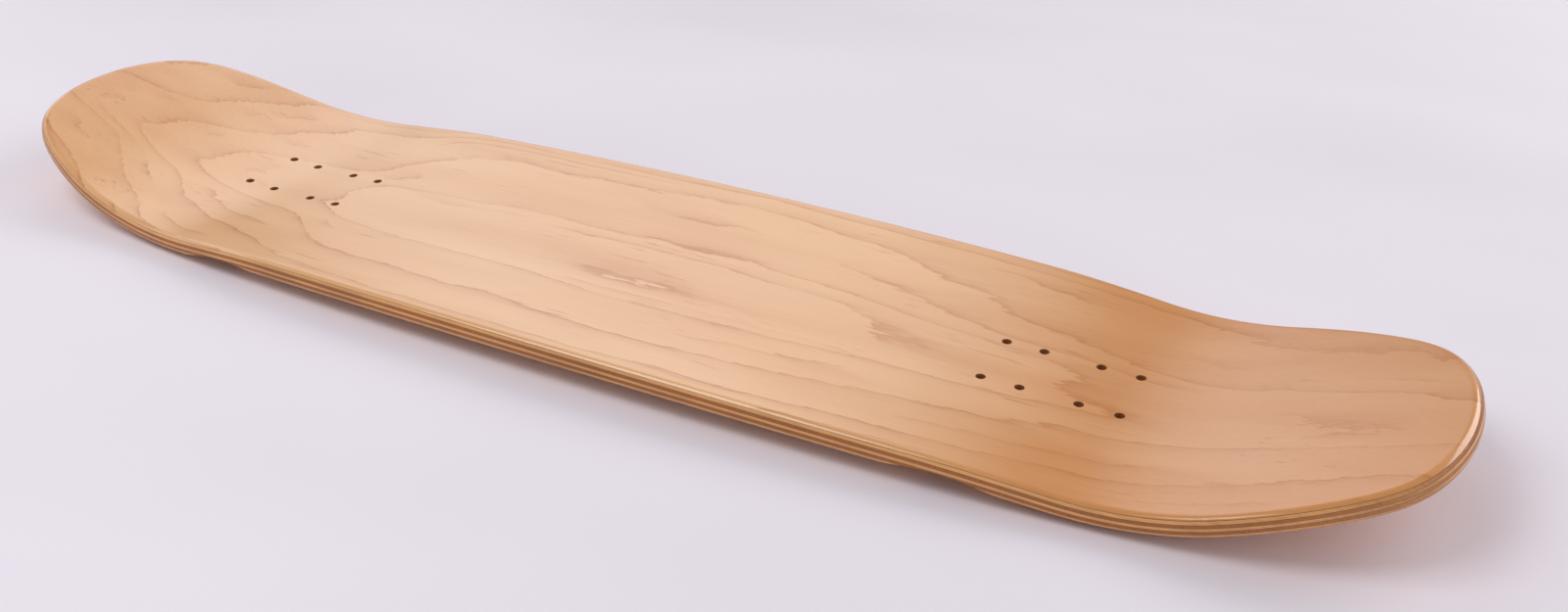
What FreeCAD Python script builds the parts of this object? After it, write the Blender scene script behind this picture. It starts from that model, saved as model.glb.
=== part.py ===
import FreeCAD, Part
import math
import os
from collections import namedtuple

from FreeCAD import Vector

# Double-kick skateboard deck, pressed from seven maple veneers with glue lines between them.
# It lies on its belly: +X points to the nose, +Y to the left rail, +Z up. The origin is on
# the surface that the belly touches, under the middle of the overall length and width.

# Truck holes: at each end two rectangles of four, one a little further out than the other
HOLE_DIAMETER = 5.6
HOLE_PITCH_ALONG = 53.98
HOLE_PITCH_ACROSS = 41.28
PATTERN_SHIFT = 21.75
INNER_HOLE_GAP = 452.0

# Outline seen from above; each overhang runs from the outermost hole to the tip
DECK_WIDTH = 234.6
NOSE_OVERHANG = 162.3
TAIL_OVERHANG = 158.2
# Rail places: share of the way from the wheelbase's middle to the tip, share of the half width
RAIL_SHARES = (
    (0.32, 0.983),
    (0.56, 0.942),
    (0.72, 0.886),
    (0.82, 0.824),
    (0.90, 0.719),
    (0.955, 0.577),
    (0.988, 0.337),
)

# Side view: a slight camber between the bends, then a bend and a straight kick at each end.
# Each bend starts its lead before the outermost hole.
CAMBER_HEIGHT = 2.7
NOSE_BEND_LEAD = 8.8
TAIL_BEND_LEAD = 37.4
NOSE_BEND_RADIUS = 223.0
TAIL_BEND_RADIUS = 344.0
NOSE_KICK_DEGREES = 18.2
TAIL_KICK_DEGREES = 19.1

# Cross-section: the rails stand above the centre line, which fades out into flat kicks
CONCAVE_HEIGHT = 7.1
CONCAVE_FADE_LEAD = 70.0
CONCAVE_FADE_LENGTH = 160.0

# Lamination from the top down
PLY_THICKNESS = 1.51
GLUE_THICKNESS = 0.18
PLY_NAMES = (
    "top_face_ply",
    "upper_long_ply",
    "upper_cross_ply",
    "centre_ply",
    "lower_cross_ply",
    "lower_long_ply",
    "bottom_face_ply",
)

# Rounding of both rim edges, which never takes more than its share of the thickness
RIM_RADIUS = 4.4
RIM_LIMIT_SHARE = 0.45

# Scoops under the rails that give the wheels room; each sits inboard of the inner four holes
WELL_LENGTH = 72.0
WELL_DEPTH = 4.5
WELL_REACH = 42.0
WELL_INSET = 14.0

# Spacing of the places that carry a pressed sheet, and how far sheets and cutters run past
STATION_SPACING = 20.0
SHEET_PLACES_ACROSS = 5
OVERRUN = 15.0
SPANS_PER_RAIL_EDGE = 4

HALF_WIDTH = DECK_WIDTH / 2
INNER_HOLE_X = INNER_HOLE_GAP / 2
OUTER_HOLE_X = INNER_HOLE_X + PATTERN_SHIFT + HOLE_PITCH_ALONG
GLUE_COUNT = len(PLY_NAMES) - 1
DECK_THICKNESS = len(PLY_NAMES) * PLY_THICKNESS + GLUE_COUNT * GLUE_THICKNESS

# One end of the deck, with its distances measured outwards from the wheelbase's middle
End = namedtuple("End", "sign length bend_start bend_radius kick_angle")
NOSE = End(
    sign=1,
    length=OUTER_HOLE_X + NOSE_OVERHANG,
    bend_start=OUTER_HOLE_X - NOSE_BEND_LEAD,
    bend_radius=NOSE_BEND_RADIUS,
    kick_angle=math.radians(NOSE_KICK_DEGREES),
)
TAIL = End(
    sign=-1,
    length=OUTER_HOLE_X + TAIL_OVERHANG,
    bend_start=OUTER_HOLE_X - TAIL_BEND_LEAD,
    bend_radius=TAIL_BEND_RADIUS,
    kick_angle=math.radians(TAIL_KICK_DEGREES),
)
ENDS = (NOSE, TAIL)

# The origin lies under the middle of the length, the camber's crest midway between the bends
WHEELBASE_X = (TAIL.length - NOSE.length) / 2
CREST_X = (NOSE.bend_start - TAIL.bend_start) / 2
CREST_REACH = (NOSE.bend_start + TAIL.bend_start) / 2
CAMBER_RADIUS = CREST_REACH**2 / (2 * CAMBER_HEIGHT)
# Slope at the camber's ends, where it still falls outwards and each bend takes over
ENTRY_ANGLE = -math.atan(CREST_REACH / CAMBER_RADIUS)


def centre_line(x):
    """Height of the top's centre line over its crest, and its slope, at x from the wheelbase."""
    from_crest = x - CREST_X
    end = NOSE if from_crest >= 0 else TAIL
    out = abs(from_crest)
    if out <= CREST_REACH:
        return -(out**2) / (2 * CAMBER_RADIUS), -from_crest / CAMBER_RADIUS
    bend_run = end.bend_radius * (math.sin(end.kick_angle) - math.sin(ENTRY_ANGLE))
    past = out - CREST_REACH
    angle = math.asin(min(past, bend_run) / end.bend_radius + math.sin(ENTRY_ANGLE))
    bend_rise = end.bend_radius * (math.cos(ENTRY_ANGLE) - math.cos(angle))
    kick_rise = max(past - bend_run, 0) * math.tan(end.kick_angle)
    return bend_rise + kick_rise - CAMBER_HEIGHT, end.sign * math.tan(angle)


def rail_lift(x):
    """Height of the rails over the centre line at x, and how fast it changes along the deck."""
    end = NOSE if x >= 0 else TAIL
    past = abs(x) - (end.bend_start - CONCAVE_FADE_LEAD)
    share = min(max(past / CONCAVE_FADE_LENGTH, 0), 1)
    lift = CONCAVE_HEIGHT * (1 - share**2 * (3 - 2 * share))
    change = -CONCAVE_HEIGHT * 6 * share * (1 - share) / CONCAVE_FADE_LENGTH
    return lift, end.sign * change


def crest_height():
    """Height of the crest's top over the surface that the belly touches below the bends."""
    sags = [end.bend_radius * (1 - math.cos(ENTRY_ANGLE)) for end in ENDS]
    return DECK_THICKNESS + CAMBER_HEIGHT + max(sags)


def pressed_point(x, y, depth):
    """Point square below the top by a depth, for x and y from the wheelbase's middle."""
    height, slope_along = centre_line(x)
    lift, lift_change = rail_lift(x)
    across = y / HALF_WIDTH
    slope_along += lift_change * across**2
    slope_across = 2 * lift * across / HALF_WIDTH
    down = Vector(slope_along, slope_across, -1).normalize()
    top = Vector(WHEELBASE_X + x, y, crest_height() + height + lift * across**2)
    return top + down * depth


def spread(low, high, count):
    """Evenly spaced places from low to high, both included."""
    step = (high - low) / (count - 1)
    return [low + step * i for i in range(count)]


def pressed_sheet(depth):
    """Face that follows the press at a depth below the top and runs past the outline."""
    low = -TAIL.length - OVERRUN
    high = NOSE.length + OVERRUN
    side = HALF_WIDTH + OVERRUN
    along = spread(low, high, math.ceil((high - low) / STATION_SPACING) + 1)
    across = spread(-side, side, SHEET_PLACES_ACROSS)
    surface = Part.BSplineSurface()
    surface.interpolate([[pressed_point(x, y, depth) for y in across] for x in along])
    return surface.toShape()


def rail_places():
    """Places on the outline at mid-thickness, once round, from the wheelbase's middle."""
    left_rail = [(0, HALF_WIDTH)]
    for along, across in RAIL_SHARES:
        left_rail.append((NOSE.length * along, HALF_WIDTH * across))
        left_rail.insert(0, (-TAIL.length * along, HALF_WIDTH * across))
    right_rail = [(x, -y) for x, y in reversed(left_rail)]
    return [(-TAIL.length, 0), *left_rail, (NOSE.length, 0), *right_rail]


def wall_wire(z):
    """Where the rim's wall, square to the pressed sheets all round, would meet the level z."""
    meets = []
    for x, y in rail_places():
        top = pressed_point(x, y, 0)
        middle = pressed_point(x, y, DECK_THICKNESS / 2)
        up = top - middle
        foot = Vector(WHEELBASE_X + x, y, middle.z)
        meets.append(foot + up * ((z - foot.z) / up.z))
    curve = Part.BSplineCurve()
    curve.interpolate(meets, PeriodicFlag=True)
    breaks = curve.getKnots()[::SPANS_PER_RAIL_EDGE]
    return Part.Wire([curve.toShape(start, stop) for start, stop in zip(breaks, breaks[1:])])


def rail_y(x):
    """Distance of the belly's rail from the centre line at x from the wheelbase's middle."""
    foot = Vector(WHEELBASE_X + x, 0, 0)
    ray = Part.makeLine(foot, foot + Vector(0, HALF_WIDTH + OVERRUN, 0))
    return ray.distToShape(wall_wire(0))[1][0][0].y


def headroom():
    """Height clear of both tips, where every upright cutter ends."""
    tips = [centre_line(end.sign * (end.length + OVERRUN))[0] for end in ENDS]
    return crest_height() + max(tips) + CONCAVE_HEIGHT + OVERRUN


def pressed_blank():
    """The pressed stack cut to its outline, with square edges."""
    block = Part.makeLoft([wall_wire(-OVERRUN), wall_wire(headroom())], True, True)
    pieces, _ = block.generalFuse([pressed_sheet(0), pressed_sheet(DECK_THICKNESS)])
    return solid_at(pieces, DECK_THICKNESS / 2)


def solid_at(pieces, depth):
    """The one of several solids that holds the deck's middle at a depth below the top."""
    middle = pressed_point(0, 0, depth)
    near = GLUE_THICKNESS / len(PLY_NAMES)
    return next(solid for solid in pieces.Solids if solid.isInside(middle, near, False))


def rounded(blank):
    """The blank with both edges of its rim rounded over."""
    radius = min(RIM_RADIUS, RIM_LIMIT_SHARE * DECK_THICKNESS)
    sheets = [face for face in blank.Faces if isinstance(face.Surface, Part.BSplineSurface)]
    return blank.makeFillet(radius, [edge for sheet in sheets for edge in sheet.Edges])


def hole_cutters():
    """An upright drill for each truck hole."""
    steps = (0, PATTERN_SHIFT, HOLE_PITCH_ALONG, PATTERN_SHIFT + HOLE_PITCH_ALONG)
    drills = []
    for end in ENDS:
        for step in steps:
            for side in (1, -1):
                x = WHEELBASE_X + end.sign * (INNER_HOLE_X + step)
                foot = Vector(x, side * HOLE_PITCH_ACROSS / 2, -OVERRUN)
                drills.append(Part.makeCylinder(HOLE_DIAMETER / 2, headroom() + OVERRUN, foot))
    return drills


def well_cutter(end, side):
    """Cylinder whose uppermost line is one wheel well's roof, which rises towards the rail."""
    x = end.sign * (INNER_HOLE_X + HOLE_PITCH_ALONG / 2 - WELL_INSET)
    radius = ((WELL_LENGTH / 2) ** 2 + WELL_DEPTH**2) / (2 * WELL_DEPTH)
    outer = pressed_point(x, rail_y(x), DECK_THICKNESS) + Vector(0, 0, WELL_DEPTH)
    inner = pressed_point(x, rail_y(x) - WELL_REACH, DECK_THICKNESS)
    roof = (outer - inner).normalize()
    to_axis = Vector(0, roof.z, -roof.y).normalize() * radius
    start = inner + to_axis - roof * OVERRUN
    stop = outer + to_axis + roof * OVERRUN
    for place in (start, stop):
        place.y *= side
    return Part.makeCylinder(radius, (stop - start).Length, start, stop - start)


def layers():
    """Name, top depth and bottom depth of each layer, a glue line between every two plies."""
    found = []
    depth = 0
    for number, ply in enumerate(PLY_NAMES):
        found.append((ply, depth, depth + PLY_THICKNESS))
        depth += PLY_THICKNESS
        if number < GLUE_COUNT:
            found.append((f"glue_line_{number + 1}", depth, depth + GLUE_THICKNESS))
            depth += GLUE_THICKNESS
    return found


def laminate():
    """Each layer of the finished deck as a solid of its own, by name."""
    cutters = hole_cutters() + [well_cutter(end, side) for end in ENDS for side in (1, -1)]
    deck = rounded(pressed_blank()).cut(cutters)
    pieces, _ = deck.generalFuse([pressed_sheet(bottom) for _, _, bottom in layers()[:-1]])
    return {name: solid_at(pieces, (top + bottom) / 2) for name, top, bottom in layers()}


def main():
    os.makedirs("parts", exist_ok=True)
    for name, solid in laminate().items():
        solid.exportStep(f"parts/{name}.step")


if __name__ == "__main__":
    main()
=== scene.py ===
import math

import bpy
import numpy as np
from bpy.props import FloatProperty, FloatVectorProperty, PointerProperty
from mathutils import Matrix, Vector
from mathutils.geometry import delaunay_2d_cdt


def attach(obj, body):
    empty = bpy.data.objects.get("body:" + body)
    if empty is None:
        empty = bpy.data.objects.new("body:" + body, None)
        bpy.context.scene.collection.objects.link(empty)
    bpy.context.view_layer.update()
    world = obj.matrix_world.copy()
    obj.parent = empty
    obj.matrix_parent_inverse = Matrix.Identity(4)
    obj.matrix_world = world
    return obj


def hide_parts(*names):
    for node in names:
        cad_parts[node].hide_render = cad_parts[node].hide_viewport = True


bl_info = {
    "name": "Pressed Maple Deck",
    "version": (1, 0, 0),
    "blender": (4, 5, 0),
    "location": "3D View > Sidebar > Deck",
    "description": "Dresses the double-kick deck: seven pressed maple veneers and their glue lines",
    "category": "Object",
}

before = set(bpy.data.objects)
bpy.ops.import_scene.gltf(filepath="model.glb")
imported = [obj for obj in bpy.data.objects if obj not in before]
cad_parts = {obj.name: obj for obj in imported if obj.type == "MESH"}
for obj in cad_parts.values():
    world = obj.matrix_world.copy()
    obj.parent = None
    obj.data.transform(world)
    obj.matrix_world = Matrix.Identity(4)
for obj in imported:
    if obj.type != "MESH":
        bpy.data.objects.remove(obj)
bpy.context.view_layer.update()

MM = 0.001
# Two heights nearer than this are one height, and two points of the net one point
SAME_HEIGHT = 1e-8
SAME_POINT = 1e-9

# Kinds of face on a layer: where two kinds meet, the edge is sharp
SHEET_KIND, RIM_KIND, WELL_KIND, BORE_KIND = range(4)

# Each ply from the top down, with its CAD node and its material slot
PLIES = (
    ("top_face_ply", "top_veneer"),
    ("upper_long_ply", "core_veneer"),
    ("upper_cross_ply", "cross_veneer"),
    ("centre_ply", "core_veneer"),
    ("lower_cross_ply", "cross_veneer"),
    ("lower_long_ply", "core_veneer"),
    ("bottom_face_ply", "bottom_veneer"),
)

# Rail places: share of the way from the wheelbase's middle to the tip, share of the half width
RAIL_SHARES = (
    (0.32, 0.983),
    (0.56, 0.942),
    (0.72, 0.886),
    (0.82, 0.824),
    (0.90, 0.719),
    (0.955, 0.577),
    (0.988, 0.337),
)

# How finely the outline, a hole and the rim's rounding are divided, and how finely the curve
# between two rail places is sampled to find the outline's even steps
OUTLINE_STEPS = 480
HOLE_STEPS = 24
ROUNDING_STEPS = 11
CURVE_STEPS = 200
# Rings inside the rounding, rings round each hole as shares of its radius, the spacing of the
# net between them, and how far the net keeps from both
INNER_RINGS = (1.5 * MM, 4.0 * MM, 8.0 * MM)
HOLE_RINGS = (1.0, 1.45, 2.1)
NET_SPACING = 8.0 * MM
NET_MARGIN = 0.55 * NET_SPACING

# Soft boxes, aimed at the deck: name, place and size in metres, and brightness, where a white
# background has 1
SOFT_BOXES = (
    ("overhead_box", (-0.70, -0.60, 1.70), (1.0, 1.0), 4.0),
    ("left_box", (-1.90, -0.20, 0.70), (2.2, 1.2), 0.9),
    ("right_box", (1.90, -0.10, 0.80), (2.2, 1.2), 1.0),
    ("back_right_box", (1.40, 1.80, 1.35), (1.8, 1.2), 3.1),
)
# The room glows brighter towards a pale wall: the way to it, how squarely one looks that way
# where the glow starts and where it is full, and the brightness away from it and at it
WALL_WAY = (-0.48, 0.70, 0.53)
WALL_SHARES = (0.93, 0.99)
ROOM_LEVELS = (0.32, 1.6)
# Half the floor's side in metres
FLOOR_REACH = 6.0
# The photo's camera: its place in metres, how far round the deck, how steep and how tilted it
# stands, and its focal length in millimetres on a sensor 36 mm wide
CAMERA_PLACE = (0.424889, -0.640779, 0.414993)
CAMERA_ROUND = math.radians(27.2266)
CAMERA_UP = math.radians(29.2458)
CAMERA_TILT = math.radians(0.6053)
CAMERA_LENS = 32.664
CAMERA_SENSOR = 36

# Growth rings that the face veneers' cut crosses on its way across and along the deck, counted
# from the heart of the figure, as shares of the ring count at places in metres
RING_COUNT = 5.0
REACH_ACROSS = 0.125
REACH_ALONG = 0.475
RINGS_ACROSS = (
    (-0.125, 0.76),
    (-0.108, 0.60),
    (-0.081, 0.40),
    (-0.061, 0.29),
    (-0.043, 0.20),
    (-0.0255, 0.02),
    (-0.020, 0.005),
    (-0.0145, 0.02),
    (0.008, 0.05),
    (0.031, 0.20),
    (0.056, 0.28),
    (0.091, 0.40),
    (0.108, 0.60),
    (0.125, 0.76),
)
RINGS_ALONG = (
    (-0.475, 0.80),
    (-0.402, 0.60),
    (-0.345, 0.39),
    (-0.290, 0.24),
    (-0.247, 0.20),
    (-0.200, 0.07),
    (-0.172, 0.04),
    (-0.060, 0.015),
    (0.005, 0.0),
    (0.102, 0.03),
    (0.160, 0.08),
    (0.215, 0.12),
    (0.300, 0.20),
    (0.367, 0.27),
    (0.425, 0.32),
    (0.475, 0.36),
)
# Rings by which slow waves and short fingers push the lines about, and the mean of both pushes,
# which is taken off so that they go inwards as well as outwards
WAVE_RINGS = 0.5
FINGER_RINGS = 0.22
MEAN_PUSH = (WAVE_RINGS + FINGER_RINGS) / 2
# The wood is palest round the middle, and warmest at the nose: share of warm wood along it, partly
# the wood's own tone and partly painted shade, darkening the tail and most of all the nose, where
# less light falls and the sheen fades
WARM_AND_SHADE_ALONG = (
    (-0.475, 0.55),
    (-0.400, 0.40),
    (-0.300, 0.12),
    (-0.200, 0.05),
    (0.060, 0.03),
    (0.150, 0.20),
    (0.240, 0.62),
    (0.320, 0.95),
    (0.475, 0.95),
)
# Darkness of late wood over one ring, from its crisp inner side outwards
LINE_SHARES = (
    (0.0, 1.0),
    (0.03, 0.8),
    (0.07, 0.45),
    (0.2, 0.22),
    (0.5, 0.07),
    (0.98, 0.0),
    (1.0, 0.6),
)
# A false ring runs this far inside each true one, in rings
FALSE_RING = 0.47
# Share of the growth colour in the darkest late wood, and of the dark colours where the rim and the
# drill cut the fibres off; inside the holes the dark colour is end grain together with painted
# shade
LATE_SHARE = 0.95
END_GRAIN_SHARE = 0.85
BORE_GRAIN_AND_SHADE_SHARE = 0.75
# Each face veneer is another stretch of the log
TOP_SEED = 1.0
BOTTOM_SEED = 40.0

# The press, worked out for every point of the flat stack: name, operation, operands.
# x runs from the wheelbase's middle to the nose and z is minus the depth below the top.
PRESS_STEPS = (
    # Camber between the bends
    ("start difference", "SUBTRACT", "Nose Bend Start", "Tail Bend Start"),
    ("crest place", "MULTIPLY", "start difference", 0.5),
    ("start sum", "ADD", "Nose Bend Start", "Tail Bend Start"),
    ("reach", "MULTIPLY", "start sum", 0.5),
    ("camber share", "DIVIDE", "Camber Height", "reach"),
    ("fall", "MULTIPLY", "camber share", 2.0),
    ("entry angle", "ARCTANGENT", "fall"),
    ("entry sine", "SINE", "entry angle"),
    ("entry cosine", "COSINE", "entry angle"),
    ("from crest", "SUBTRACT", "x", "crest place"),
    ("out", "ABSOLUTE", "from crest"),
    ("in camber", "MINIMUM", "out", "reach"),
    ("ratio", "DIVIDE", "in camber", "reach"),
    ("ratio squared", "MULTIPLY", "ratio", "ratio"),
    ("sag", "MULTIPLY", "ratio squared", "Camber Height"),
    # The bend and the straight kick on this side of the crest
    ("nose side", "GREATER_THAN", "from crest", 0.0),
    ("side", "MULTIPLY_ADD", "nose side", 2.0, -1.0),
    ("radius difference", "SUBTRACT", "Nose Bend Radius", "Tail Bend Radius"),
    ("bend radius", "MULTIPLY_ADD", "nose side", "radius difference", "Tail Bend Radius"),
    ("kick difference", "SUBTRACT", "Nose Kick", "Tail Kick"),
    ("kick", "MULTIPLY_ADD", "nose side", "kick difference", "Tail Kick"),
    ("past reach", "SUBTRACT", "out", "reach"),
    ("past", "MAXIMUM", "past reach", 0.0),
    ("kick sine", "SINE", "kick"),
    ("sine sum", "ADD", "kick sine", "entry sine"),
    ("bend run", "MULTIPLY", "bend radius", "sine sum"),
    ("in bend", "MINIMUM", "past", "bend run"),
    ("bend share", "DIVIDE", "in bend", "bend radius"),
    ("turn sine", "SUBTRACT", "bend share", "entry sine"),
    ("turn", "ARCSINE", "turn sine"),
    ("turn cosine", "COSINE", "turn"),
    ("cosine drop", "SUBTRACT", "entry cosine", "turn cosine"),
    ("bend rise", "MULTIPLY", "bend radius", "cosine drop"),
    ("in kick", "SUBTRACT", "past", "in bend"),
    ("kick slope", "TANGENT", "kick"),
    ("kick rise", "MULTIPLY", "in kick", "kick slope"),
    ("rise", "ADD", "bend rise", "kick rise"),
    ("height", "SUBTRACT", "rise", "sag"),
    ("turn slope", "TANGENT", "turn"),
    ("outward slope", "MULTIPLY", "turn slope", "ratio"),
    ("line slope", "MULTIPLY", "outward slope", "side"),
    # Concave: the rails' lift, which fades out into the kicks
    ("nose half", "GREATER_THAN", "x", 0.0),
    ("half sign", "MULTIPLY_ADD", "nose half", 2.0, -1.0),
    ("bend start", "MULTIPLY_ADD", "nose half", "start difference", "Tail Bend Start"),
    ("from middle", "ABSOLUTE", "x"),
    ("past start", "SUBTRACT", "from middle", "bend start"),
    ("past fade", "ADD", "past start", "Fade Lead"),
    ("fade share", "DIVIDE", "past fade", "Fade Length"),
    ("share above", "MAXIMUM", "fade share", 0.0),
    ("share", "MINIMUM", "share above", 1.0),
    ("share squared", "MULTIPLY", "share", "share"),
    ("share easing", "MULTIPLY_ADD", "share", -2.0, 3.0),
    ("fade", "MULTIPLY", "share squared", "share easing"),
    ("kept", "SUBTRACT", 1.0, "fade"),
    ("lift", "MULTIPLY", "kept", "Rail Lift"),
    ("share left", "SUBTRACT", 1.0, "share"),
    ("share product", "MULTIPLY", "share", "share left"),
    ("lift rate", "DIVIDE", "Rail Lift", "Fade Length"),
    ("rate", "MULTIPLY", "lift rate", -6.0),
    ("outward change", "MULTIPLY", "share product", "rate"),
    ("lift change", "MULTIPLY", "outward change", "half sign"),
    ("across", "DIVIDE", "y", "Half Width"),
    ("across squared", "MULTIPLY", "across", "across"),
    ("rail rise", "MULTIPLY", "lift", "across squared"),
    # Slopes of the sheet, and its steepness: how much longer it is than its plan
    ("slope along", "MULTIPLY_ADD", "lift change", "across squared", "line slope"),
    ("lift per width", "DIVIDE", "lift", "Half Width"),
    ("lift across", "MULTIPLY", "lift per width", "across"),
    ("slope across", "MULTIPLY", "lift across", 2.0),
    ("along squared", "MULTIPLY", "slope along", "slope along"),
    ("slope square", "MULTIPLY_ADD", "slope across", "slope across", "along squared"),
    ("steep square", "ADD", "slope square", 1.0),
    ("steepness", "SQRT", "steep square"),
    # Height of the crest when the belly rests on the floor below the deeper bend
    ("larger radius", "MAXIMUM", "Nose Bend Radius", "Tail Bend Radius"),
    ("entry drop", "SUBTRACT", 1.0, "entry cosine"),
    ("bend sag", "MULTIPLY", "larger radius", "entry drop"),
    ("belly to crest", "ADD", "bend sag", "Camber Height"),
    ("crest height", "ADD", "belly to crest", "Thickness"),
    # The middle of the stack stands over its plan, and the rest lies square to it, except
    # in the truck holes, which are drilled upright
    ("half thickness", "MULTIPLY", "Thickness", 0.5),
    ("above middle", "ADD", "z", "half thickness"),
    ("top height", "ADD", "crest height", "height"),
    ("top here", "ADD", "top height", "rail rise"),
    ("half upright", "MULTIPLY", "half thickness", "steepness"),
    ("middle height", "SUBTRACT", "top here", "half upright"),
    ("leaning", "DIVIDE", "above middle", "steepness"),
    ("undrilled", "SUBTRACT", 1.0, "drilled"),
    ("sideways", "MULTIPLY", "leaning", "undrilled"),
    ("shift along", "MULTIPLY", "sideways", "slope along"),
    ("shift across", "MULTIPLY", "sideways", "slope across"),
    ("upright share", "MULTIPLY_ADD", "drilled", "slope square", 1.0),
    ("upwards", "MULTIPLY", "leaning", "upright share"),
    ("leaned along", "SUBTRACT", "x", "shift along"),
    ("pressed x", "ADD", "leaned along", "Wheelbase Shift"),
    ("pressed y", "SUBTRACT", "y", "shift across"),
    ("pressed z", "ADD", "middle height", "upwards"),
)


def linear(hex_colour):
    """An sRGB hex colour as the linear red, green and blue that Blender's sockets take."""
    parts = [int(hex_colour[i : i + 2], 16) / 255 for i in (1, 3, 5)]
    return tuple(p / 12.92 if p <= 0.04045 else ((p + 0.055) / 1.055) ** 2.4 for p in parts)


def add(tree, kind, inputs=None, **settings):
    """Adds a node with its settings, and sets or links its inputs by name or number.

    A node given as an input stands for its first output, and a colour is made opaque. A Map
    Range node's inputs are 0, the value, 1 and 2, where it comes from, and 3 and 4, where to.
    """
    node = tree.nodes.new(kind)
    for name, value in settings.items():
        setattr(node, name, value)
    for name, value in (inputs or {}).items():
        socket = node.inputs[name]
        if isinstance(value, bpy.types.Node):
            tree.links.new(value.outputs[0], socket)
        elif isinstance(value, bpy.types.NodeSocket):
            tree.links.new(value, socket)
        else:
            socket.default_value = (*value[:3], 1) if socket.type == "RGBA" else value
    return node


class DeckSizes(bpy.types.PropertyGroup):
    """Sizes of the pressed deck."""

    width: FloatProperty(
        name="Width", description="Across the rails", default=0.2346, unit="LENGTH"
    )
    nose_length: FloatProperty(
        name="Nose Length",
        description="From the wheelbase's middle to the nose tip",
        default=0.46403,
        unit="LENGTH",
    )
    tail_length: FloatProperty(
        name="Tail Length",
        description="From the wheelbase's middle to the tail tip",
        default=0.45993,
        unit="LENGTH",
    )
    ply: FloatProperty(
        name="Ply Thickness", description="One veneer", default=0.00151, unit="LENGTH"
    )
    glue: FloatProperty(
        name="Glue Thickness", description="One glue line", default=0.00018, unit="LENGTH"
    )
    rim_radius: FloatProperty(
        name="Rim Radius", description="Rounding of both edges", default=0.0044, unit="LENGTH"
    )
    camber: FloatProperty(
        name="Camber Height",
        description="Rise of the middle over the bends' starts",
        default=0.0027,
        unit="LENGTH",
    )
    rail_lift: FloatProperty(
        name="Rail Lift",
        description="Height of the rails over the centre line",
        default=0.0071,
        unit="LENGTH",
    )
    fade_lead: FloatProperty(
        name="Fade Lead",
        description="How far before each bend the rail lift starts to fade",
        default=0.070,
        unit="LENGTH",
    )
    fade_length: FloatProperty(
        name="Fade Length",
        description="Distance in which the rail lift fades out",
        default=0.160,
        unit="LENGTH",
    )
    nose_bend_start: FloatProperty(
        name="Nose Bend Start",
        description="From the wheelbase's middle",
        default=0.29293,
        unit="LENGTH",
    )
    tail_bend_start: FloatProperty(
        name="Tail Bend Start",
        description="From the wheelbase's middle",
        default=0.26433,
        unit="LENGTH",
    )
    nose_bend_radius: FloatProperty(
        name="Nose Bend Radius", description="Top of the nose bend", default=0.223, unit="LENGTH"
    )
    tail_bend_radius: FloatProperty(
        name="Tail Bend Radius", description="Top of the tail bend", default=0.344, unit="LENGTH"
    )
    nose_kick: FloatProperty(
        name="Nose Kick",
        description="Slope of the straight nose",
        default=math.radians(18.2),
        unit="ROTATION",
    )
    tail_kick: FloatProperty(
        name="Tail Kick",
        description="Slope of the straight tail",
        default=math.radians(19.1),
        unit="ROTATION",
    )
    hole: FloatProperty(
        name="Hole Diameter", description="Truck holes", default=0.0056, unit="LENGTH"
    )
    hole_along: FloatProperty(
        name="Hole Pitch Along", description="In one rectangle", default=0.05398, unit="LENGTH"
    )
    hole_across: FloatProperty(
        name="Hole Pitch Across", description="In one rectangle", default=0.04128, unit="LENGTH"
    )
    pattern_shift: FloatProperty(
        name="Pattern Shift",
        description="How much further out the second rectangle sits",
        default=0.02175,
        unit="LENGTH",
    )
    inner_gap: FloatProperty(
        name="Inner Hole Gap",
        description="Between the innermost holes of nose and tail",
        default=0.452,
        unit="LENGTH",
    )
    well_length: FloatProperty(
        name="Well Length", description="Along the rail", default=0.072, unit="LENGTH"
    )
    well_depth: FloatProperty(
        name="Well Depth", description="At the rail", default=0.0045, unit="LENGTH"
    )
    well_reach: FloatProperty(
        name="Well Reach", description="Inwards from the rail", default=0.042, unit="LENGTH"
    )
    well_inset: FloatProperty(
        name="Well Inset",
        description="Inwards from the middle of the inner four holes",
        default=0.014,
        unit="LENGTH",
    )


# What every colour of the deck has in common
COLOUR = {"subtype": "COLOR", "size": 3, "min": 0, "max": 1}


class DeckColours(bpy.types.PropertyGroup):
    """Colours of the veneers, the glue and the stage."""

    sapwood: FloatVectorProperty(
        name="Sapwood",
        description="Palest wood of the face veneers",
        default=linear("#EFB97E"),
        **COLOUR,
    )
    # Besides the real clouds of warmer wood, this colour paints the shade towards the nose and the
    # tail
    warm_and_shade: FloatVectorProperty(
        name="Warm Wood",
        description="Clouds of warmer wood between the growth lines",
        default=linear("#DA9452"),
        **COLOUR,
    )
    # Darker than the end grain alone: this colour also paints the shade inside the truck holes
    bore: FloatVectorProperty(
        name="Drilled Wood",
        description="Dark end grain inside the truck holes",
        default=linear("#9A5E34"),
        **COLOUR,
    )
    growth: FloatVectorProperty(
        name="Growth Lines",
        description="Late wood where a year's ring meets the cut",
        default=linear("#C27414"),
        **COLOUR,
    )
    core: FloatVectorProperty(
        name="Core Veneer",
        description="Long-grain inner plies",
        default=linear("#E8AD70"),
        **COLOUR,
    )
    cross: FloatVectorProperty(
        name="Cross Veneer",
        description="End grain of the cross plies",
        default=linear("#A65C28"),
        **COLOUR,
    )
    glue: FloatVectorProperty(
        name="Glue",
        description="Cured glue lines",
        default=linear("#6C3814"),
        **COLOUR,
    )
    room: FloatVectorProperty(
        name="Room",
        description="Light that comes from all round",
        default=linear("#FBF9FF"),
        **COLOUR,
    )
    paper: FloatVectorProperty(
        name="Paper",
        description="Floor of the stage",
        default=linear("#F2ECF4"),
        **COLOUR,
    )


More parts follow.
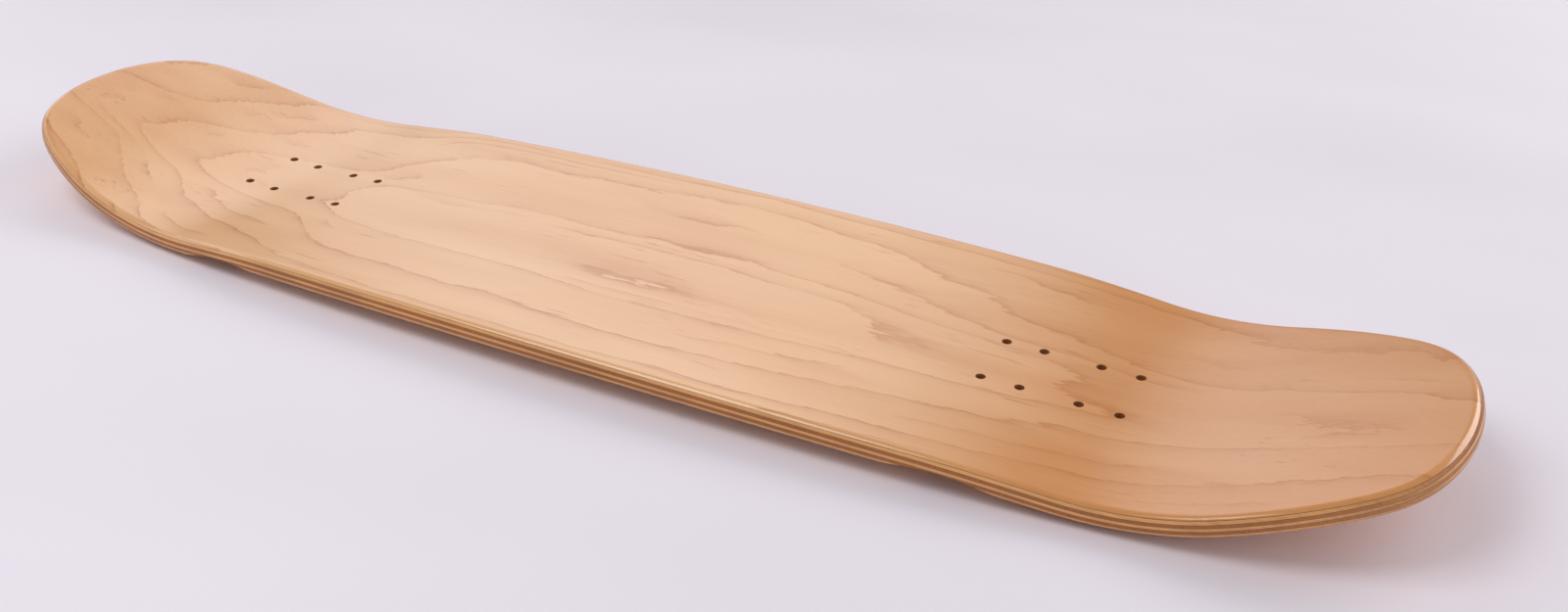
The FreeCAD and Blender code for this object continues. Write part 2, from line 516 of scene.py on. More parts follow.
def layer_depths(sizes):
    """Name, top depth and bottom depth of every ply and glue line, from the top down."""
    found = []
    depth = 0.0
    for number, (ply, _) in enumerate(PLIES, 1):
        found.append((ply, depth, depth + sizes.ply))
        depth += sizes.ply
        if number < len(PLIES):
            found.append((f"glue_line_{number}", depth, depth + sizes.glue))
            depth += sizes.glue
    return found


def outline(sizes):
    """Evenly spaced points on the smooth closed outline, once round, and their inward normals."""
    half = sizes.width / 2
    left = [(0, half)]
    for along, across in RAIL_SHARES:
        left.append((sizes.nose_length * along, half * across))
        left.insert(0, (-sizes.tail_length * along, half * across))
    right = [(x, -y) for x, y in reversed(left)]
    places = np.array([(-sizes.tail_length, 0), *left, (sizes.nose_length, 0), *right])
    after = np.roll(places, -1, axis=0)
    step = np.linalg.norm(after - places, axis=1)
    count = len(places)
    matrix = np.zeros((count, count))
    slope = (after - places) / step[:, None]
    for i in range(count):
        matrix[i, i - 1] += step[i - 1]
        matrix[i, i] += 2 * (step[i - 1] + step[i])
        matrix[i, (i + 1) % count] += step[i]
    # The bend of a closed cubic spline at each place, then the curve that it gives
    bend = np.linalg.solve(matrix, 6 * (slope - np.roll(slope, 1, axis=0)))
    share = np.linspace(0, 1, CURVE_STEPS, endpoint=False)[:, None]
    curve = []
    for i in range(count):
        j = (i + 1) % count
        ease = step[i] ** 2 / 6
        curve.append(
            places[i] * (1 - share)
            + places[j] * share
            + ease * bend[i] * ((1 - share) ** 3 - (1 - share))
            + ease * bend[j] * (share**3 - share)
        )
    curve = np.concatenate([*curve, places[:1]])
    length = np.concatenate([[0], np.cumsum(np.linalg.norm(np.diff(curve, axis=0), axis=1))])
    marks = np.linspace(0, length[-1], OUTLINE_STEPS, endpoint=False)
    points = np.stack([np.interp(marks, length, curve[:, k]) for k in (0, 1)], axis=1)
    run = np.roll(points, -1, axis=0) - np.roll(points, 1, axis=0)
    run /= np.linalg.norm(run, axis=1)[:, None]
    return points, np.stack([run[:, 1], -run[:, 0]], axis=1)


def hole_centres(sizes):
    """The sixteen truck holes, from the wheelbase's middle."""
    steps = (0, sizes.pattern_shift, sizes.hole_along, sizes.pattern_shift + sizes.hole_along)
    return [
        (end * (sizes.inner_gap / 2 + step), side * sizes.hole_across / 2)
        for end in (1, -1)
        for step in steps
        for side in (1, -1)
    ]


class FlatStack:
    """The flat stack of veneers: one net of triangles over its plan, which all layers share.

    Each place of the net knows how far the rim's rounding has eaten into either face there,
    how high a wheel well's roof stands over the bottom, and how squarely the rim beside it
    faces along the deck.
    """

    def __init__(self, sizes):
        self.sizes = sizes
        self.layers = layer_depths(sizes)
        self.thickness = self.layers[-1][2]
        self.holes = hole_centres(sizes)
        self.lay_net()
        self.roof = self.well_roof(self.plan[:, 0], self.plan[:, 1])
        for level in [0.0, *(self.thickness - bottom for _, _, bottom in self.layers[:-1])]:
            self.divide(self.roof - level)
        self.divide(self.roof - self.rounding)

    def lay_net(self):
        """Rings that follow the outline, then triangles between them and round the holes."""
        sizes = self.sizes
        radius = sizes.rim_radius
        edge, inward = outline(sizes)
        bottoms = [bottom for _, _, bottom in self.layers if bottom < radius]
        angles = list(np.linspace(math.pi / 2, 0, ROUNDING_STEPS))
        angles += [math.acos(1 - bottom / radius) for bottom in bottoms]
        rings = [(radius * (1 - math.sin(a)), radius * (1 - math.cos(a))) for a in angles]
        rings.sort()
        rings += [(radius + further, 0.0) for further in INNER_RINGS]
        plan = [edge + inward * inset for inset, _ in rings]
        rounding = [np.full(OUTLINE_STEPS, rise) for _, rise in rings]
        tip_share = [inward[:, 0] ** 2 for _ in rings]
        faces = []
        for ring in range(len(rings) - 1):
            for i in range(OUTLINE_STEPS):
                j = (i + 1) % OUTLINE_STEPS
                a, b = ring * OUTLINE_STEPS + i, ring * OUTLINE_STEPS + j
                c, d = b + OUTLINE_STEPS, a + OUTLINE_STEPS
                faces += [(a, d, c), (a, c, b)]
        first = (len(rings) - 1) * OUTLINE_STEPS
        inner = plan[-1]
        loops = [list(range(OUTLINE_STEPS))]
        points = [Vector(p) for p in inner]
        bore = sizes.hole / 2
        turns = np.linspace(0, 2 * math.pi, HOLE_STEPS, endpoint=False)
        for x, y in self.holes:
            for share in HOLE_RINGS:
                if share == HOLE_RINGS[0]:
                    loops.append(list(range(len(points), len(points) + HOLE_STEPS)))
                points += [
                    Vector((x + bore * share * math.cos(t), y + bore * share * math.sin(t)))
                    for t in turns
                ]
        near_hole = bore * HOLE_RINGS[-1] + NET_MARGIN
        for x in np.arange(-sizes.tail_length, sizes.nose_length, NET_SPACING):
            for y in np.arange(-sizes.width / 2, sizes.width / 2, NET_SPACING) + NET_SPACING / 3:
                gap = np.hypot(inner[:, 0] - x, inner[:, 1] - y)
                near = int(gap.argmin())
                inside = (x, y) - inner[near]
                if inside @ inward[near] < NET_MARGIN or gap[near] < NET_MARGIN:
                    continue
                if all(math.hypot(x - hx, y - hy) > near_hole for hx, hy in self.holes):
                    points.append(Vector((x, y)))
        edges = [(loop[i - 1], loop[i]) for loop in loops for i in range(len(loop))]
        found, _, triangles, origins, _, _ = delaunay_2d_cdt(points, edges, [], 1, SAME_POINT)
        number = {}
        extra = []
        for new, old in enumerate(origins):
            if old and old[0] < OUTLINE_STEPS:
                number[new] = first + old[0]
            else:
                number[new] = first + OUTLINE_STEPS + len(extra)
                extra.append(found[new])
        for triangle in triangles:
            x, y = (sum(found[v][k] for v in triangle) / 3 for k in (0, 1))
            if all(math.hypot(x - hx, y - hy) > bore for hx, hy in self.holes):
                faces.append(tuple(number[v] for v in triangle))
        self.plan = np.concatenate([*plan, np.array(extra)])
        self.rounding = np.concatenate([*rounding, np.zeros(len(extra))])
        self.tip_share = np.concatenate([*tip_share, np.zeros(len(extra))])
        faces = np.array(faces)
        corner, second, third = (self.plan[faces[:, k]] for k in (0, 1, 2))
        one, other = (second - corner).T, (third - corner).T
        turn = one[0] * other[1] - one[1] * other[0]
        faces[turn < 0] = faces[turn < 0][:, ::-1]
        self.faces = faces

    def well_roof(self, x, y):
        """Height of the nearest wheel well's roof over the flat bottom, below 0 outside it."""
        sizes = self.sizes
        edge, _ = outline(sizes)
        place = sizes.inner_gap / 2 + sizes.hole_along / 2 - sizes.well_inset
        lift = sizes.rail_lift / (sizes.width / 2) ** 2
        radius = ((sizes.well_length / 2) ** 2 + sizes.well_depth**2) / (2 * sizes.well_depth)
        roofs = []
        for end in (1, -1):
            near = edge[np.abs(edge[:, 0] - end * place) < sizes.well_inset]
            rail = np.abs(near[:, 1]).mean()
            # The rim's wall leans, so it stands further out at the floor than at mid-thickness
            outer = rail + 2 * lift * rail * (lift * rail**2 + self.thickness / 2)
            inwards = outer - np.abs(y)
            along = np.minimum(np.abs(x - end * place), radius)
            from_inner = sizes.well_reach - inwards
            roof = sizes.well_depth * from_inner / sizes.well_reach
            roof = roof + lift * inwards * from_inner
            roofs.append(roof - (radius - np.sqrt(radius**2 - along**2)))
        return np.maximum(*roofs)

    def divide(self, values):
        """Divides the net's triangles where values change sign, so that an edge runs there."""
        values[np.abs(values) < SAME_HEIGHT] = 0
        corners = values[self.faces]
        crossed = (corners.min(axis=1) < 0) & (corners.max(axis=1) > 0)
        count = len(self.plan)
        cuts, ends, shares, faces = {}, [], [], []
        for face in self.faces[crossed].tolist():
            ring = []
            for i in range(3):
                a, b = face[i], face[(i + 1) % 3]
                ring.append(a)
                if values[a] * values[b] < 0:
                    key = (min(a, b), max(a, b))
                    if key not in cuts:
                        cuts[key] = count + len(cuts)
                        ends.append(key)
                        shares.append(values[key[0]] / (values[key[0]] - values[key[1]]))
                    ring.append(cuts[key])
            zero = [i for i, v in enumerate(ring) if v >= count or values[v] == 0]
            first, last = zero[0], zero[-1]
            for part in (ring[first : last + 1], ring[last:] + ring[: first + 1]):
                faces += [(part[0], part[i], part[i + 1]) for i in range(1, len(part) - 1)]
        if not cuts:
            return
        low, high = np.array(ends).T
        share = np.array(shares)
        for name in ("rounding", "roof", "tip_share"):
            field = getattr(self, name)
            setattr(self, name, np.append(field, field[low] * (1 - share) + field[high] * share))
        between = self.plan[low] * (1 - share)[:, None] + self.plan[high] * share[:, None]
        self.plan = np.concatenate([self.plan, between])
        self.faces = np.concatenate([self.faces[~crossed], np.array(faces)])

    def layer_mesh(self, name, top, bottom):
        """Flat closed mesh of one layer, with sharp edges where two kinds of face meet."""
        upper = np.maximum(top, self.rounding)
        limit = self.thickness - np.maximum(self.rounding, self.roof)
        lower = np.minimum(bottom, limit)
        thick = lower - upper
        corners = thick[self.faces]
        held = (corners.min(axis=1) > -SAME_HEIGHT) & (corners.max(axis=1) > SAME_HEIGHT)
        faces = self.faces[held]
        used = np.unique(faces)
        apart = used[thick[used] > SAME_HEIGHT]
        above = np.zeros(len(self.plan), int)
        above[used] = np.arange(len(used))
        under = above.copy()
        under[apart] = len(used) + np.arange(len(apart))
        plan = self.plan[np.append(used, apart)]
        points = np.column_stack([plan, -np.append(upper[used], lower[apart])])

        # The faces above and below, then the walls where the layer ends
        rounded = self.rounding[faces].mean(axis=1) > top + SAME_HEIGHT
        kinds = np.where(rounded | (top == 0), RIM_KIND, SHEET_KIND)
        cut = limit[faces].mean(axis=1) < bottom - SAME_HEIGHT
        scooped = (self.roof - self.rounding)[faces].mean(axis=1) > 0
        plain_kind = RIM_KIND if bottom == self.thickness else SHEET_KIND
        kinds_below = np.where(cut, np.where(scooped, WELL_KIND, RIM_KIND), plain_kind)
        kinds = [*kinds, *kinds_below]
        polygons = [*above[faces].tolist(), *under[faces[:, ::-1]].tolist()]
        sides = faces[:, [0, 1, 1, 2, 2, 0]].reshape(-1, 2)
        keys = sides @ (len(self.plan), 1)
        opposite = sides @ (1, len(self.plan))
        bored = set()
        for a, b in sides[~np.isin(keys, opposite)]:
            wall = list(dict.fromkeys((above[b], above[a], under[a], under[b])))
            in_hole = min(math.dist(self.plan[a], hole) for hole in self.holes) < self.sizes.hole
            if in_hole:
                bored.update(wall)
            if len(wall) > 2:
                polygons.append([int(v) for v in wall])
                kinds.append(BORE_KIND if in_hole else RIM_KIND)

        mesh = bpy.data.meshes.new(name)
        mesh.from_pydata(points.tolist(), [], polygons)
        mesh.polygons.foreach_set("use_smooth", [True] * len(polygons))
        edges = np.empty(len(mesh.loops), np.int32)
        mesh.loops.foreach_get("edge_index", edges)
        kind_there = np.repeat(kinds, [len(polygon) for polygon in polygons])
        least = np.full(len(mesh.edges), BORE_KIND)
        most = np.full(len(mesh.edges), SHEET_KIND)
        np.minimum.at(least, edges, kind_there)
        np.maximum.at(most, edges, kind_there)
        sharp = mesh.attributes.new("sharp_edge", "BOOLEAN", "EDGE")
        sharp.data.foreach_set("value", least != most)
        drilled = mesh.attributes.new("drilled", "FLOAT", "POINT")
        drilled.data.foreach_set("value", [float(v in bored) for v in range(len(points))])
        tip_share = mesh.attributes.new("tip_share", "FLOAT", "POINT")
        tip_share.data.foreach_set("value", self.tip_share[np.append(used, apart)])
        return mesh


def press_inputs(sizes, thickness):
    """The press's sizes, by the names of the node group's inputs."""
    return {
        "Half Width": sizes.width / 2,
        "Thickness": thickness,
        "Camber Height": sizes.camber,
        "Nose Bend Start": sizes.nose_bend_start,
        "Tail Bend Start": sizes.tail_bend_start,
        "Nose Bend Radius": sizes.nose_bend_radius,
        "Tail Bend Radius": sizes.tail_bend_radius,
        "Nose Kick": sizes.nose_kick,
        "Tail Kick": sizes.tail_kick,
        "Rail Lift": sizes.rail_lift,
        "Fade Lead": sizes.fade_lead,
        "Fade Length": sizes.fade_length,
        "Wheelbase Shift": (sizes.tail_length - sizes.nose_length) / 2,
    }


def press_tree(names):
    """Geometry Nodes tree that presses a flat layer between the two halves of the mould."""
    tree = bpy.data.node_groups.new("Press", "GeometryNodeTree")
    tree.interface.new_socket("Geometry", in_out="INPUT", socket_type="NodeSocketGeometry")
    for name in names:
        tree.interface.new_socket(name, in_out="INPUT", socket_type="NodeSocketFloat")
    tree.interface.new_socket("Material", in_out="INPUT", socket_type="NodeSocketMaterial")
    tree.interface.new_socket("Geometry", in_out="OUTPUT", socket_type="NodeSocketGeometry")
    given = add(tree, "NodeGroupInput")
    flat = add(tree, "ShaderNodeSeparateXYZ", {0: add(tree, "GeometryNodeInputPosition")})
    drilled = add(tree, "GeometryNodeInputNamedAttribute", {"Name": "drilled"}, data_type="FLOAT")
    values = {name: given.outputs[name] for name in names}
    values |= {"x": flat.outputs[0], "y": flat.outputs[1], "z": flat.outputs[2]}
    values["drilled"] = drilled
    for name, operation, *operands in PRESS_STEPS:
        taken = {i: values[o] if isinstance(o, str) else o for i, o in enumerate(operands)}
        values[name] = add(tree, "ShaderNodeMath", taken, operation=operation, label=name)
    pressed = {i: values[f"pressed {axis}"] for i, axis in enumerate("xyz")}
    place = add(tree, "ShaderNodeCombineXYZ", pressed)
    moved = add(
        tree,
        "GeometryNodeSetPosition",
        {"Geometry": given.outputs["Geometry"], "Position": place},
    )
    real = add(tree, "GeometryNodeRealizeInstances", {0: moved})
    finished = add(
        tree,
        "GeometryNodeSetMaterial",
        {"Geometry": real, "Material": given.outputs["Material"]},
    )
    add(tree, "NodeGroupOutput", {0: finished})
    return tree


def press_layers(names, material, title):
    """Presses the named layers, one piece each, and puts them in place of their CAD nodes."""
    sizes = bpy.context.scene.deck_sizes
    stack = FlatStack(sizes)
    inputs = press_inputs(sizes, stack.thickness)
    tree = press_tree(inputs)
    sockets = [item for item in tree.interface.items_tree if item.in_out == "INPUT"]
    ids = {socket.name: socket.identifier for socket in sockets}
    for name, top, bottom in stack.layers:
        if name not in names:
            continue
        piece = bpy.data.objects.new(f"{title}_{name}", stack.layer_mesh(name, top, bottom))
        bpy.context.scene.collection.objects.link(piece)
        press = piece.modifiers.new("Press", "NODES")
        press.node_group = tree
        for label, value in inputs.items():
            press[ids[label]] = value
        press[ids["Material"]] = material
        graph = bpy.context.evaluated_depsgraph_get()
        pressed = bpy.data.meshes.new_from_object(piece.evaluated_get(graph))
        piece.modifiers.clear()
        piece.data = pressed
        if not pressed.polygons:
            raise RuntimeError(f"{name} came out of the press empty")
        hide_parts(name)
        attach(piece, "root")


def start_material(name):
    """A new material, its emptied node tree, and the place of each point on the object."""
    material = bpy.data.materials.new(name)
    material.use_nodes = True
    tree = material.node_tree
    tree.nodes.clear()
    return material, tree, add(tree, "ShaderNodeTexCoord").outputs["Object"]


def finish_material(material, surface):
    """The material with its surface, given as the shader's sockets and what each one takes."""
    tree = material.node_tree
    shader = add(tree, "ShaderNodeBsdfPrincipled", surface)
    add(tree, "ShaderNodeOutputMaterial", {"Surface": shader})
    return material


def stretched_noise(tree, place, seed, lengths, detail=2.0, roughness=0.5):
    """Noise whose swells are so many millimetres long, wide and high."""
    scale = tuple(1 / (length * MM) for length in lengths)
    shift = (seed, -seed, seed)
    taken = {"Vector": place, "Location": shift, "Scale": scale}
    mapping = add(tree, "ShaderNodeMapping", taken)
    noise = add(
        tree,
        "ShaderNodeTexNoise",
        {"Vector": mapping, "Scale": 1.0, "Detail": detail, "Roughness": roughness},
    )
    return noise.outputs["Fac"]


def shaped(tree, value, points, low=0.0, high=1.0):
    """A value sent through a curve whose places run from low to high, with heights in 0 to 1."""
    share = add(tree, "ShaderNodeMapRange", {0: value, 1: low, 2: high}, clamp=True)
    curve = add(tree, "ShaderNodeFloatCurve", {"Value": share})
    line = curve.mapping.curves[0]
    for place, height in points[1:-1]:
        line.points.new((place - low) / (high - low), height)
    line.points[0].location = ((points[0][0] - low) / (high - low), points[0][1])
    line.points[-1].location = ((points[-1][0] - low) / (high - low), points[-1][1])
    for point in line.points:
        point.handle_type = "AUTO_CLAMPED"
    curve.mapping.update()
    return curve


def layered(tree, colour, layers):
    """A colour with layers laid over it in turn: the share, colour and blend of each."""
    for share, layer, blend in layers:
        taken = {0: share, 6: colour, 7: layer}
        mix = add(tree, "ShaderNodeMix", taken, data_type="RGBA", blend_type=blend)
        colour = mix.outputs[2]
    return colour


def growth_field(tree, place, axes, seed):
    """Count of growth rings between a point of a rotary-cut sheet and the heart of its figure."""
    across = shaped(tree, axes.outputs[1], RINGS_ACROSS, -REACH_ACROSS, REACH_ACROSS)
    along = shaped(tree, axes.outputs[0], RINGS_ALONG, -REACH_ALONG, REACH_ALONG)
    sums = add(tree, "ShaderNodeMath", {0: across, 1: along}, operation="ADD")
    rings = add(tree, "ShaderNodeMath", {0: sums, 1: RING_COUNT}, operation="MULTIPLY")
    # Slow waves, then the short fingers that a knife leaves where it meets a ring flatly
    wave = stretched_noise(tree, place, seed, (95, 34, 34), 2.0)
    finger = stretched_noise(tree, place, seed + 3, (26, 3.2, 3.2), 3.0, 0.6)
    for push, reach in ((wave, WAVE_RINGS), (finger, FINGER_RINGS)):
        rings = add(tree, "ShaderNodeMath", {0: push, 1: reach, 2: rings}, operation="MULTIPLY_ADD")
    return add(tree, "ShaderNodeMath", {0: rings, 1: MEAN_PUSH}, operation="SUBTRACT")


def veneer_face(name, colours, seed):
    """Hard maple veneer, rotary cut, pressed, sanded and sprayed with clear satin lacquer.

    The eye sees pale honey wood with few, faint, far-apart growth lines in long ovals, a fine
    silky fibre along the deck, a few short dark flecks, and a soft shine over all of it.
    """
    material, tree, place = start_material(name)
    axes = add(tree, "ShaderNodeSeparateXYZ", {0: place})
    rings = growth_field(tree, place, axes, seed)

    # Each line is crisp on its inner side and fades outwards; some stretches are fainter
    phase = add(tree, "ShaderNodeMath", {0: rings}, operation="FRACT")
    line = shaped(tree, phase, LINE_SHARES)
    strength = stretched_noise(tree, place, seed + 7, (110, 22, 22), 1.0)
    strength = add(tree, "ShaderNodeMapRange", {0: strength, 1: 0.3, 2: 0.68, 3: 0.35, 4: 1.0})
    line = add(tree, "ShaderNodeMath", {0: line, 1: strength}, operation="MULTIPLY")
    # False rings between the true ones, in patches
    later = add(tree, "ShaderNodeMath", {0: rings, 1: FALSE_RING}, operation="ADD")
    phase = add(tree, "ShaderNodeMath", {0: later}, operation="FRACT")
    faint = shaped(tree, phase, LINE_SHARES)
    patch = stretched_noise(tree, place, seed + 11, (130, 30, 30), 1.0)
    patch = add(tree, "ShaderNodeMapRange", {0: patch, 1: 0.5, 2: 0.62, 3: 0.0, 4: 0.75})
    faint = add(tree, "ShaderNodeMath", {0: faint, 1: patch}, operation="MULTIPLY")
    late = add(tree, "ShaderNodeMath", {0: line, 1: faint}, operation="MAXIMUM")
    late = add(tree, "ShaderNodeMath", {0: late, 1: LATE_SHARE}, operation="MULTIPLY")

    # Broad clouds of warmer wood, and silky fibre drawn 1.4 mm wide so that it shows
    cloud = stretched_noise(tree, place, seed + 17, (210, 42, 42), 2.0)
    fibre = stretched_noise(tree, place, seed + 23, (70, 1.4, 1.4), 3.0, 0.65)
    # The share along the deck is painted shade towards the tips; the clouds added to it are real
    # warmer wood
    warm_and_shade = shaped(tree, axes.outputs[0], WARM_AND_SHADE_ALONG, -REACH_ALONG, REACH_ALONG)
    cloudy = add(tree, "ShaderNodeMapRange", {0: cloud, 1: 0.35, 2: 0.7, 3: -0.12, 4: 0.22})
    warm_and_shade = add(tree, "ShaderNodeMath", {0: warm_and_shade, 1: cloudy}, operation="ADD", use_clamp=True)
    shade = add(tree, "ShaderNodeMapRange", {0: fibre, 1: 0.3, 2: 0.72, 3: 1.03, 4: 0.95})

    # Mineral flecks: short thin dark streaks, few and far between
    fleck = stretched_noise(tree, place, seed + 29, (28, 2.0, 2.0), 1.0)
    rare = stretched_noise(tree, place, seed + 31, (70, 24, 24), 0.0)
    fleck = add(tree, "ShaderNodeMapRange", {0: fleck, 1: 0.63, 2: 0.76, 3: 0.0, 4: 0.7})
    rare = add(tree, "ShaderNodeMapRange", {0: rare, 1: 0.6, 2: 0.68, 3: 0.0, 4: 1.0})
    fleck = add(tree, "ShaderNodeMath", {0: fleck, 1: rare}, operation="MULTIPLY")

    # The drilled walls are dark end grain with painted shade inside the holes, but not the faces
    # that end at them
    drilled = add(tree, "ShaderNodeAttribute", attribute_name="drilled").outputs["Fac"]
    bore = add(tree, "ShaderNodeMapRange", {0: drilled, 1: 0.86, 2: 0.98, 3: 0.0, 4: BORE_GRAIN_AND_SHADE_SHARE})

    layers = (
        (warm_and_shade, colours.warm_and_shade, "MIX"),
        (late, colours.growth, "MIX"),
        (1.0, shade, "MULTIPLY"),
        (fleck, colours.growth, "MIX"),
        (bore, colours.bore, "MIX"),
    )
    grain = add(tree, "ShaderNodeBump", {"Height": fibre, "Strength": 0.1, "Distance": 0.05 * MM})
    gloss = add(tree, "ShaderNodeMapRange", {0: cloud, 1: 0.3, 2: 0.7, 3: 0.46, 4: 0.54})
    return finish_material(
        material,
        {
            "Base Color": layered(tree, colours.sapwood, layers),
            "Roughness": gloss,
            "Normal": grain,
            "Specular IOR Level": 0.3,
            "Coat Weight": 1.0,
            "Coat Roughness": 0.1,
            "Coat IOR": 1.58,
        },
    )


def veneer_edge(name, colours, grain_across):
    """Sanded and lacquered edge of an inner maple veneer.

    Where the rim cuts along the fibres it is pale with fine streaks. Where it cuts them off it
    is brown end grain, which drinks the lacquer: in cross plies along the rails, and in
    long-grain plies at the tips.
    """
    material, tree, place = start_material(name)
    tip = add(tree, "ShaderNodeAttribute", attribute_name="tip_share").outputs["Fac"]
    if grain_across:
        tip = add(tree, "ShaderNodeMath", {0: 1.0, 1: tip}, operation="SUBTRACT")
    end_grain = add(tree, "ShaderNodeMath", {0: tip, 1: END_GRAIN_SHARE}, operation="MULTIPLY")
    # Fibres are finer than this, and are drawn 1.5 mm wide so that they show
    lengths = (1.5, 40, 1.5) if grain_across else (40, 1.5, 1.5)
    streak = stretched_noise(tree, place, 5.0, lengths, 3.0, 0.6)
    patch = stretched_noise(tree, place, 9.0, (34, 34, 34), 2.0)
    shade = add(tree, "ShaderNodeMapRange", {0: streak, 1: 0.3, 2: 0.7, 3: 1.1, 4: 0.84})
    tone = add(tree, "ShaderNodeMapRange", {0: patch, 1: 0.35, 2: 0.7, 3: 1.05, 4: 0.88})
    # The drilled walls get the dark drilled colour, which also paints the shade inside the holes
    drilled = add(tree, "ShaderNodeAttribute", attribute_name="drilled").outputs["Fac"]
    bore = add(tree, "ShaderNodeMath", {0: drilled, 1: BORE_GRAIN_AND_SHADE_SHARE}, operation="MULTIPLY")
    layers = (
        (end_grain, colours.cross, "MIX"),
        (1.0, shade, "MULTIPLY"),
        (1.0, tone, "MULTIPLY"),
        (bore, colours.bore, "MIX"),
    )
    grain = add(tree, "ShaderNodeBump", {"Height": streak, "Strength": 0.15, "Distance": 0.08 * MM})
    return finish_material(
        material,
        {
            "Base Color": layered(tree, colours.core, layers),
            "Roughness": 0.5,
            "Normal": grain,
            "Specular IOR Level": 0.15,
            "Coat Weight": 0.35,
            "Coat Roughness": 0.15,
            "Coat IOR": 1.5,
        },
    )


def cured_glue(name, colours):
    """Cured wood glue, squeezed out and sanded flush: a thin brown line, a little glassy."""
    material, tree, place = start_material(name)
    squeeze = stretched_noise(tree, place, 2.0, (14, 14, 14), 3.0, 0.6)
    shade = add(tree, "ShaderNodeMapRange", {0: squeeze, 1: 0.3, 2: 0.7, 3: 0.7, 4: 1.4})
    colour = layered(tree, colours.glue, [(1.0, shade, "MULTIPLY")])
    return finish_material(
        material,
        {"Base Color": colour, "Roughness": 0.4, "Coat Weight": 0.6, "Coat Roughness": 0.2},
    )


def matt_paper(name, colours):
    """Uncoated white paper, rolled out: matt, with slow swells of tone where it isn't flat."""
    material, tree, place = start_material(name)
    swell = stretched_noise(tree, place, 4.0, (420, 260, 260), 2.0)
    shade = add(tree, "ShaderNodeMapRange", {0: swell, 1: 0.35, 2: 0.7, 3: 1.02, 4: 0.96})
    colour = layered(tree, colours.paper, [(1.0, shade, "MULTIPLY")])
    return finish_material(
        material,
        {"Base Color": colour, "Roughness": 0.9, "Specular IOR Level": 0.2},
    )


class DECK_OT_face_veneers(bpy.types.Operator):
    """Press the top and bottom face veneers"""

    bl_idname = "deck.face_veneers"
    bl_label = "Press Face Veneers"

    def execute(self, context):
        colours = context.scene.deck_colours
        top = veneer_face("Lacquered Maple Top Veneer", colours, TOP_SEED)
        bottom = veneer_face("Lacquered Maple Bottom Veneer", colours, BOTTOM_SEED)
        press_layers(["top_face_ply"], top, "pressed")
        press_layers(["bottom_face_ply"], bottom, "pressed")
        return {"FINISHED"}


class DECK_OT_core_veneers(bpy.types.Operator):
    """Press the inner veneers whose grain runs along the deck"""

    bl_idname = "deck.core_veneers"
    bl_label = "Press Core Veneers"

    def execute(self, context):
        colours = context.scene.deck_colours
        names = [ply for ply, slot in PLIES if slot == "core_veneer"]
        edge = veneer_edge("Sanded Maple Core Veneer", colours, grain_across=False)
        press_layers(names, edge, "pressed")
        return {"FINISHED"}


class DECK_OT_cross_veneers(bpy.types.Operator):
    """Press the inner veneers whose grain runs across the deck"""

    bl_idname = "deck.cross_veneers"
    bl_label = "Press Cross Veneers"

    def execute(self, context):
        colours = context.scene.deck_colours
        names = [ply for ply, slot in PLIES if slot == "cross_veneer"]
        edge = veneer_edge("Sanded Maple Cross Veneer", colours, grain_across=True)
        press_layers(names, edge, "pressed")
        return {"FINISHED"}


class DECK_OT_glue_lines(bpy.types.Operator):
    """Press the glue lines between the veneers"""

    bl_idname = "deck.glue_lines"
    bl_label = "Press Glue Lines"

    def execute(self, context):
        colours = context.scene.deck_colours
        names = [f"glue_line_{number}" for number in range(1, len(PLIES))]
        press_layers(names, cured_glue("Cured Wood Glue", colours), "cured")
        return {"FINISHED"}


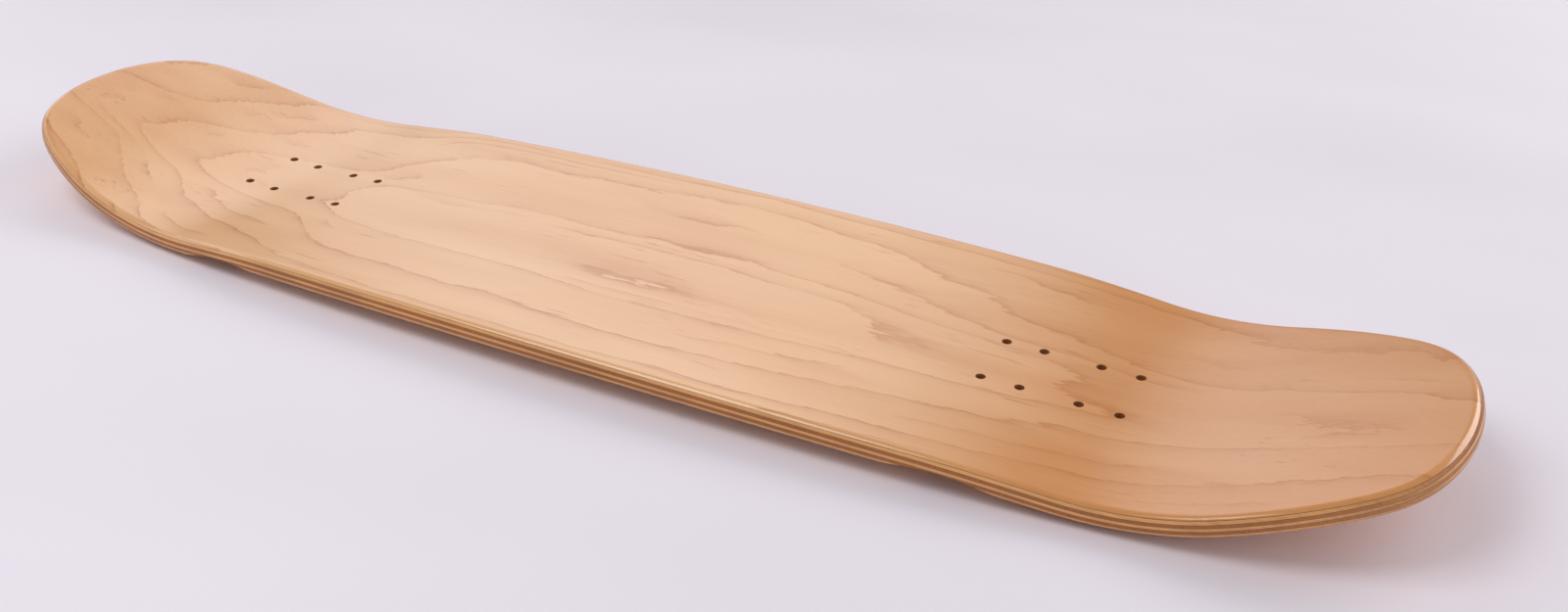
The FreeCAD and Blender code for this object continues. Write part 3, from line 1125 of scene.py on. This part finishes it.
class DECK_OT_stage(bpy.types.Operator):
    """Set up the floor, the light and the camera"""

    bl_idname = "deck.stage"
    bl_label = "Set Up Stage"

    def execute(self, context):
        scene = context.scene
        colours = scene.deck_colours
        floor = bpy.data.meshes.new("paper_floor")
        corners = ((-1, -1), (1, -1), (1, 1), (-1, 1))
        places = [(FLOOR_REACH * x, FLOOR_REACH * y, 0) for x, y in corners]
        floor.from_pydata(places, [], [(0, 1, 2, 3)])
        floor.materials.append(matt_paper("Uncoated Paper", colours))
        ground = bpy.data.objects.new("paper_floor", floor)
        scene.collection.objects.link(ground)
        world = bpy.data.worlds.new("Soft Room")
        world.use_nodes = True
        scene.world = world
        tree = world.node_tree
        way = add(tree, "ShaderNodeTexCoord").outputs["Generated"]
        square = add(tree, "ShaderNodeVectorMath", {0: way, 1: WALL_WAY}, operation="DOT_PRODUCT")
        glow = add(
            tree,
            "ShaderNodeMapRange",
            {
                0: square.outputs["Value"],
                1: WALL_SHARES[0],
                2: WALL_SHARES[1],
                3: ROOM_LEVELS[0],
                4: ROOM_LEVELS[1],
            },
            interpolation_type="SMOOTHSTEP",
        )
        background = tree.nodes["Background"]
        background.inputs["Color"].default_value = (*colours.room, 1)
        tree.links.new(glow.outputs[0], background.inputs["Strength"])
        for name, place, size, level in SOFT_BOXES:
            lamp = bpy.data.lights.new(name, "AREA")
            lamp.shape = "RECTANGLE"
            lamp.size, lamp.size_y = size
            lamp.energy = level * math.pi * size[0] * size[1]
            box = bpy.data.objects.new(name, lamp)
            box.location = place
            box.rotation_euler = (-box.location).to_track_quat("-Z", "Y").to_euler()
            scene.collection.objects.link(box)
        scene.view_settings.view_transform = "Standard"
        lens = bpy.data.cameras.new("photo_camera")
        lens.lens = CAMERA_LENS
        lens.sensor_width = CAMERA_SENSOR
        lens.sensor_fit = "HORIZONTAL"
        camera = bpy.data.objects.new("photo_camera", lens)
        turn = (
            Matrix.Rotation(CAMERA_ROUND, 4, "Z")
            @ Matrix.Rotation(math.pi / 2 - CAMERA_UP, 4, "X")
            @ Matrix.Rotation(CAMERA_TILT, 4, "Z")
        )
        camera.matrix_world = Matrix.Translation(CAMERA_PLACE) @ turn
        scene.collection.objects.link(camera)
        scene.camera = camera
        return {"FINISHED"}


class DECK_PT_panel(bpy.types.Panel):
    """The deck's pieces, sizes and colours"""

    bl_idname = "DECK_PT_panel"
    bl_label = "Pressed Maple Deck"
    bl_space_type = "VIEW_3D"
    bl_region_type = "UI"
    bl_category = "Deck"

    def draw(self, context):
        column = self.layout.column()
        for step in STEPS:
            column.operator(step.bl_idname)
        for group in (context.scene.deck_sizes, context.scene.deck_colours):
            for name in group.bl_rna.properties.keys():
                if name not in ("rna_type", "name"):
                    column.prop(group, name)


STEPS = (
    DECK_OT_face_veneers,
    DECK_OT_core_veneers,
    DECK_OT_cross_veneers,
    DECK_OT_glue_lines,
    DECK_OT_stage,
)
CLASSES = (DeckSizes, DeckColours, *STEPS, DECK_PT_panel)


def register():
    for cls in CLASSES:
        bpy.utils.register_class(cls)
    bpy.types.Scene.deck_sizes = PointerProperty(type=DeckSizes)
    bpy.types.Scene.deck_colours = PointerProperty(type=DeckColours)


def unregister():
    del bpy.types.Scene.deck_colours
    del bpy.types.Scene.deck_sizes
    for cls in reversed(CLASSES):
        bpy.utils.unregister_class(cls)


def main():
    register()
    for step in STEPS:
        group, name = step.bl_idname.split(".")
        getattr(getattr(bpy.ops, group), name)()


if __name__ == "__main__":
    main()
